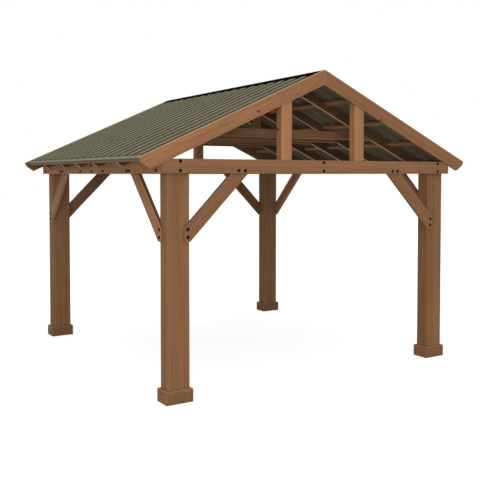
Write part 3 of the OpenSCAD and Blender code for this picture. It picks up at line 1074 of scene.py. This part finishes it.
@dataclass
class RoofCover:
    """The ribbed sheets, the folded trims along the eaves, the ridge cap and the screws that hold them."""

    pitch: float = math.radians(24)
    sheet_depth: float = 2 * MM
    rib_count: int = 18
    rib_lead: float = 193 * MM
    rib_tail: float = 63 * MM
    rib_height: float = 12 * MM
    rib_top: float = 78 * MM
    rib_foot: float = 104 * MM
    cuts_across: int = 780
    cuts_down: int = 9
    flange: float = 50 * MM
    drop: float = 28 * MM
    drip: float = 4 * MM
    wing: float = 115 * MM
    fold: float = 4 * MM
    fold_cuts: int = 4
    sharp: float = math.radians(40)
    screw_rows: Span = (0.6, 1.72)
    cap_row: float = 85 * MM
    slope: Slope = field(init=False)
    ribs: list[float] = field(init=False)

    def __post_init__(self) -> None:
        """Reads the slope off the frame, and spaces the ribs along it from the front."""
        self.slope = read_slope(self.pitch, self.rib_height + self.sheet_depth)
        step = (self.slope.rear - self.slope.front - self.rib_lead - self.rib_tail) / (self.rib_count - 1)
        self.ribs = [self.slope.front + self.rib_lead + number * step for number in range(self.rib_count)]

    def build(self) -> list[Seat]:
        """Makes the sheets and their trims.

        Returns:
            The seats of the roof screws.
        """
        ribbed = self._sheet_tree()
        folded = self._fold_tree()
        for side in Side:
            self._sheet(side, ribbed)
            self._folded(node_name("eave_trim", side), self._eave_line(side), folded, EAVE_METAL)
        self._folded("ridge_cap", self._cap_line(), folded, RIDGE_METAL)
        return [seat for side in Side for seat in self._screws(side)]

    def _sheet(self, side: Side, tree: Tree) -> None:
        """Makes one ribbed sheet.

        Args:
            side: the slope that it covers.
            tree: the geometry nodes of a sheet.
        """
        node = node_name("roof_sheet", side)
        piece = new_object(node + "_metal", bpy.data.meshes.new(node + "_metal"))
        slope = self.slope
        run_tree(piece, tree, {
            "Finish": ROOF_SHEET.material(), "Length": slope.end - slope.start,
            "Width": slope.rear - slope.front, "Start": slope.start, "Lift": self.sheet_depth,
            "Rib step": side.value * (self.ribs[1] - self.ribs[0]), "First rib": side.value * self.ribs[0],
            "Rib top": self.rib_top / 2, "Rib foot": self.rib_foot / 2, "Rib height": self.rib_height,
            "Pitch": self.pitch, "Turn": math.pi if side is Side.LEFT else 0.0, "Ridge height": slope.top})
        self._thicken(piece)
        hand_over(piece, ROOF_SHEET.slot, node)

    def _thicken(self, piece: Piece) -> None:
        """Gives a surface of sheet metal its thickness, inwards, and shades its folds.

        Args:
            piece: the surface, with its geometry nodes still live.
        """
        wall = piece.modifiers.new("sheet thickness", "SOLIDIFY")
        wall.thickness = self.sheet_depth
        wall.offset = -1
        settle(piece)
        for face in piece.data.polygons:
            face.use_smooth = True
        piece.data.set_sharp_from_angle(angle=self.sharp)

    def _sheet_tree(self) -> Tree:
        """Builds the geometry nodes of a ribbed sheet: a grid raised in flat-topped ribs, laid on the slope.

        The last row of the grid lies under the row before it, which closes the lower ends of the ribs.

        Returns:
            The tree.
        """
        tree, given = new_tree("ribbed sheet", (
            "Length", "Width", "Start", "Lift", "Rib step", "First rib", "Rib top", "Rib foot", "Rib height",
            "Pitch", "Turn", "Ridge height"))
        grid = add(tree, "GeometryNodeMeshGrid", {
            "Size X": given["Length"], "Size Y": given["Width"], "Vertices X": self.cuts_down,
            "Vertices Y": self.cuts_across})
        place = add(tree, SPLIT_XYZ, [add(tree, "GeometryNodeInputPosition")]).node.outputs
        past = add(tree, MATH, [place["Y"], given["First rib"]], operation="SUBTRACT")
        steps = add(tree, MATH, [past, given["Rib step"]], operation="DIVIDE")
        whole = add(tree, MATH, [steps], operation="ROUND")
        nearest = add(tree, "ShaderNodeClamp", {"Value": whole, "Max": self.rib_count - 1.0})
        middle = add(tree, MATH, [nearest, given["Rib step"]], operation="MULTIPLY")
        off_rib = add(tree, MATH, [past, middle], operation="SUBTRACT")
        beside = add(tree, MATH, [off_rib], operation="ABSOLUTE")
        height = add(tree, RANGE, {
            "Value": beside, "From Min": given["Rib foot"], "From Max": given["Rib top"],
            "To Max": given["Rib height"]}, interpolation_type="SMOOTHSTEP")
        row = 1 / (self.cuts_down - 1)
        share = add(tree, MATH, [place["X"], given["Length"]], operation="DIVIDE")
        spread = add(tree, RANGE, {
            "Value": share, "From Min": -0.5, "From Max": 0.5 - row, "To Max": given["Length"]})
        down = add(tree, MATH, [spread, given["Start"]], operation="ADD")
        shift = add(tree, MATH, [down, place["X"]], operation="SUBTRACT")
        open_row = add(tree, MATH, [share, 0.5 - row / 2], operation="LESS_THAN")
        height = add(tree, MATH, [height, open_row], operation="MULTIPLY")
        pace = add(tree, MATH, [given["Rib step"]], operation="ABSOLUTE")
        along = add(tree, MATH, [steps, pace], operation="MULTIPLY")
        local = add(tree, JOIN_XYZ, {"X": down, "Y": along, "Z": height})
        noted = add(tree, "GeometryNodeStoreNamedAttribute", {
            "Geometry": grid, "Name": "sheet", "Value": local}, data_type="FLOAT_VECTOR", domain="POINT")
        raised = add(tree, MATH, [height, given["Lift"]], operation="ADD")
        move = add(tree, JOIN_XYZ, {"X": shift, "Z": raised})
        formed = add(tree, "GeometryNodeSetPosition", {"Geometry": noted, "Offset": move})
        turn = add(tree, JOIN_XYZ, {"Y": given["Pitch"], "Z": given["Turn"]})
        lift = add(tree, JOIN_XYZ, {"Z": given["Ridge height"]})
        laid = add(tree, "GeometryNodeTransform", {"Geometry": formed, "Rotation": turn, "Translation": lift})
        end_tree(tree, given, laid)
        return tree

    def _eave_line(self, side: Side) -> list[Vector]:
        """Draws the outer face of an eave trim: a flange below the sheet, a drop and a kicked-out drip edge.

        Args:
            side: the slope that it edges.

        Returns:
            The corners of the line, at the front end of the trim.
        """
        top, end = self.sheet_depth, self.slope.end
        face = end + self.flange
        corners = [(end, top), (face, top), (face, top - self.drop + self.drip),
                   (face + self.drip / 2, top - self.drop)]
        line = [self.slope.point(side, down, self.slope.front, lift) for down, lift in corners]
        return line if side is Side.RIGHT else line[::-1]

    def _cap_line(self) -> list[Vector]:
        """Draws the outer face of the ridge cap, from wing to wing.

        Returns:
            The corners of the line, at the front end of the cap.
        """
        top, front = self.rib_height + 2 * self.sheet_depth, self.slope.front
        peak = Vector((0, front, self.slope.top + top / math.cos(self.pitch)))
        left, right = (self.slope.point(side, self.wing, front, top) for side in Side)
        return [left, peak, right]

    def _folded(self, node: str, line: list[Vector], tree: Tree, finish: SheetFinish) -> None:
        """Makes a folded strip the length of the roof.

        Args:
            node: the frame node that it stands for.
            line: the corners of its outer face, from left to right, at the front.
            tree: the geometry nodes of a folded strip.
            finish: its paint.
        """
        mesh = bpy.data.meshes.new(node + "_metal")
        mesh.from_pydata(line, [(i, i + 1) for i in range(len(line) - 1)], [])
        piece = new_object(node + "_metal", mesh)
        length = self.slope.rear - self.slope.front
        run_tree(piece, tree, {"Finish": finish.material(), "Length": length, "Fold": self.fold})
        self._thicken(piece)
        hand_over(piece, finish.slot, node)

    def _fold_tree(self) -> Tree:
        """Builds the geometry nodes of a folded strip: a line with rounded corners, drawn along the ridge.

        Returns:
            The tree.
        """
        tree, given = new_tree("folded strip", ("Length", "Fold"))
        line = add(tree, "GeometryNodeMeshToCurve", {"Mesh": given["Geometry"]})
        rounded = add(tree, "GeometryNodeFilletCurve", {
            "Curve": line, "Radius": given["Fold"], "Count": self.fold_cuts, "Limit Radius": True},
            mode="POLY")
        edge = add(tree, "GeometryNodeCurveToMesh", {"Curve": rounded})
        way = add(tree, JOIN_XYZ, {"Y": given["Length"]})
        drawn = add(tree, "GeometryNodeExtrudeMesh", {"Mesh": edge, "Offset": way, "Offset Scale": 1.0},
                    mode="EDGES")
        place = add(tree, "GeometryNodeInputPosition")
        noted = add(tree, "GeometryNodeStoreNamedAttribute", {
            "Geometry": drawn, "Name": "sheet", "Value": place}, data_type="FLOAT_VECTOR", domain="POINT")
        end_tree(tree, given, noted)
        return tree

    def _screws(self, side: Side) -> list[Seat]:
        """Places the screws of one slope in line with its ribs.

        Args:
            side: the slope.

        Returns:
            The seats.
        """
        slope, crest = self.slope, self.rib_height + self.sheet_depth
        rows = [(row, crest) for row in self.screw_rows]
        rows += [(slope.end + self.flange / 2, self.sheet_depth), (self.cap_row, crest + self.sheet_depth)]
        out = slope.out(side)
        return [(slope.point(side, row, rib, lift), out) for row, lift in rows for rib in self.ribs]


@dataclass
class Studio:
    """A pale floor, soft light and the photograph's camera."""

    eye: tuple[float, float, float] = (-4.8252, -7.9454, 2.1745)
    yaw: float = 0.5554
    tilt: float = math.radians(-2)
    lens: float = 54.525
    sensor: float = 36.0
    shift: float = -0.0827
    sight: float = 500.0
    floor_reach: float = 60.0
    floor_drop: float = 1 * MM
    sky_tint: str = "#f4f4f2"
    sky_top: float = 1.45
    sky_edge: float = 0.2
    sky_near: float = 1.4
    sky_far: float = 0.6
    lamp_place: tuple[float, float, float] = (-10.5, -17.8, 2.6)
    lamp_aim: tuple[float, float, float] = (-0.5, -0.8, 1.6)
    lamp_size: float = 8.0
    lamp_power: float = 1700.0

    def build(self) -> None:
        """Makes the camera, the light and the floor."""
        self._camera()
        self._sky()
        self._floor()
        self._lamp()

    def _camera(self) -> None:
        """Stands the camera where the photograph was taken."""
        data = bpy.data.cameras.new("camera")
        data.sensor_width = self.sensor
        data.lens = self.lens
        data.shift_y = self.shift
        data.clip_end = self.sight
        camera = bpy.data.objects.new("camera", data)
        camera.location = self.eye
        camera.rotation_euler = (math.pi / 2 + self.tilt, 0, -self.yaw)
        bpy.context.scene.collection.objects.link(camera)
        bpy.context.scene.camera = camera

    def _sky(self) -> None:
        """Lights the scene from all round, most from above and the lamp's side, before a white background."""
        world = bpy.data.worlds.new("studio")
        bpy.context.scene.world = world
        world.use_nodes = True
        tree = world.node_tree
        tree.nodes.clear()
        way = add(tree, "ShaderNodeTexCoord", output="Generated")
        height = add(tree, SPLIT_XYZ, [way], output="Z")
        rise = add(tree, RANGE, {"Value": height, "To Min": self.sky_edge, "To Max": self.sky_top})
        toward = Vector((*self.lamp_place[:2], 0)).normalized()
        nearness = add(tree, VECTOR, [way, toward], operation="DOT_PRODUCT", output="Value")
        turn = add(tree, RANGE, {
            "Value": nearness, "From Min": -1.0, "To Min": self.sky_far, "To Max": self.sky_near})
        level = add(tree, MATH, [rise, turn], operation="MULTIPLY")
        light = add(tree, "ShaderNodeBackground", {"Color": linear(self.sky_tint), "Strength": level})
        white = add(tree, "ShaderNodeBackground", {"Color": WHITE, "Strength": 1.0})
        path = add(tree, "ShaderNodeLightPath").node.outputs
        shown = path["Is Camera Ray"]
        for ray in ("Is Glossy Ray", "Is Transmission Ray"):
            shown = add(tree, MATH, [shown, path[ray]], operation="MAXIMUM")
        mixed = add(tree, "ShaderNodeMixShader", [shown, light, white])
        add(tree, "ShaderNodeOutputWorld", {"Surface": mixed})

    def _floor(self) -> None:
        """Lays the floor just under the feet of the posts."""
        mesh = bpy.data.meshes.new("floor")
        corners = [(x * self.floor_reach, y * self.floor_reach, -self.floor_drop)
                   for x, y in ((-1, -1), (1, -1), (1, 1), (-1, 1))]
        mesh.from_pydata(corners, [], [(0, 1, 2, 3)])
        mesh.materials.append(FLOOR_PAINT.material())
        new_object("floor", mesh)

    def _lamp(self) -> None:
        """Stands one broad soft lamp to the front left, low enough to light under the eaves."""
        data = bpy.data.lights.new("key_light", "AREA")
        data.shape = "SQUARE"
        data.size = self.lamp_size
        data.energy = self.lamp_power
        lamp = bpy.data.objects.new("key_light", data)
        lamp.location = self.lamp_place
        aim = Vector(self.lamp_place) - Vector(self.lamp_aim)
        lamp.rotation_euler = aim.to_track_quat("Z", "Y").to_euler()
        bpy.context.scene.collection.objects.link(lamp)


def main() -> None:
    """Builds the gazebo's pieces in order, then the studio."""
    logging.basicConfig(level=logging.INFO, format="%(message)s")
    bpy.context.scene.view_settings.view_transform = "Standard"
    nails = Posts().build()
    bolts = Beams().build() + KneeBraces().build()
    RoofFrame().build()
    screws = RoofCover().build()
    BOLT_HEADS.build(bolts)
    NAIL_HEADS.build(nails)
    ROOF_SCREWS.build(screws)
    Studio().build()


if __name__ == "__main__":
    main()
